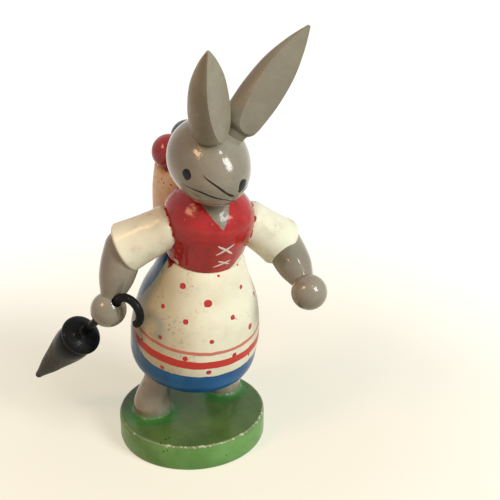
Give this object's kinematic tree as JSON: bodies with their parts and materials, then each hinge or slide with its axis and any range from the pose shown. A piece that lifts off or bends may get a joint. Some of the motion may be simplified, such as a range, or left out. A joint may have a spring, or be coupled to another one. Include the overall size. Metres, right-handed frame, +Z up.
{
  "type": "easter bunny figurine",
  "caption": "Standing rabbit figurine of turned and painted wood in a dotted apron and bodice, with a tub of eggs on its back and a closed umbrella in its hand, on a round base.",
  "frame": {"origin": "centre of the base disc's underside", "axes": "+Z up, the figure looks towards -Y, its right hand is at -X"},
  "size_m": [0.0499, 0.047, 0.0851],
  "materials": {
    "green_paint": "gloss painted wood",
    "grey_paint": "gloss painted wood",
    "cream_paint": "gloss painted wood",
    "red_paint": "gloss painted wood",
    "peach_paint": "satin painted wood",
    "black_paint": "gloss painted wood",
    "black_wire": "gloss painted wire",
    "egg_red_paint": "gloss painted wood",
    "egg_blue_paint": "gloss painted wood",
    "egg_yellow_paint": "gloss painted wood",
    "bare_wood": "bare turned wood"
  },
  "bodies": {
    "figure": {"base_disc": "green_paint", "right_leg": "grey_paint", "left_leg": "grey_paint", "skirt": "cream_paint", "waist_peg": "bare_wood", "torso": "red_paint", "neck_peg": "bare_wood", "head": "grey_paint", "right_ear": "grey_paint", "left_ear": "grey_paint", "right_shoulder_peg": "bare_wood", "left_shoulder_peg": "bare_wood", "right_sleeve": "cream_paint", "left_sleeve": "cream_paint", "right_forearm": "grey_paint", "left_forearm": "grey_paint", "right_hand": "grey_paint", "left_hand": "grey_paint", "tub_peg": "bare_wood", "tub": "peach_paint", "egg_red": "egg_red_paint", "egg_blue": "egg_blue_paint", "egg_yellow": "egg_yellow_paint"},
    "umbrella": {"umbrella_cane": "black_wire", "umbrella_canopy": "black_paint"}
  },
  "joints": [
    {"name": "umbrella_twist", "type": "hinge", "parent": "figure", "child": "umbrella", "pos_m": [-0.01725, -0.00427, 0.03322], "axis": [0.3379, -0.6338, 0.6958], "range_deg": [-155, 90]}
  ]
}
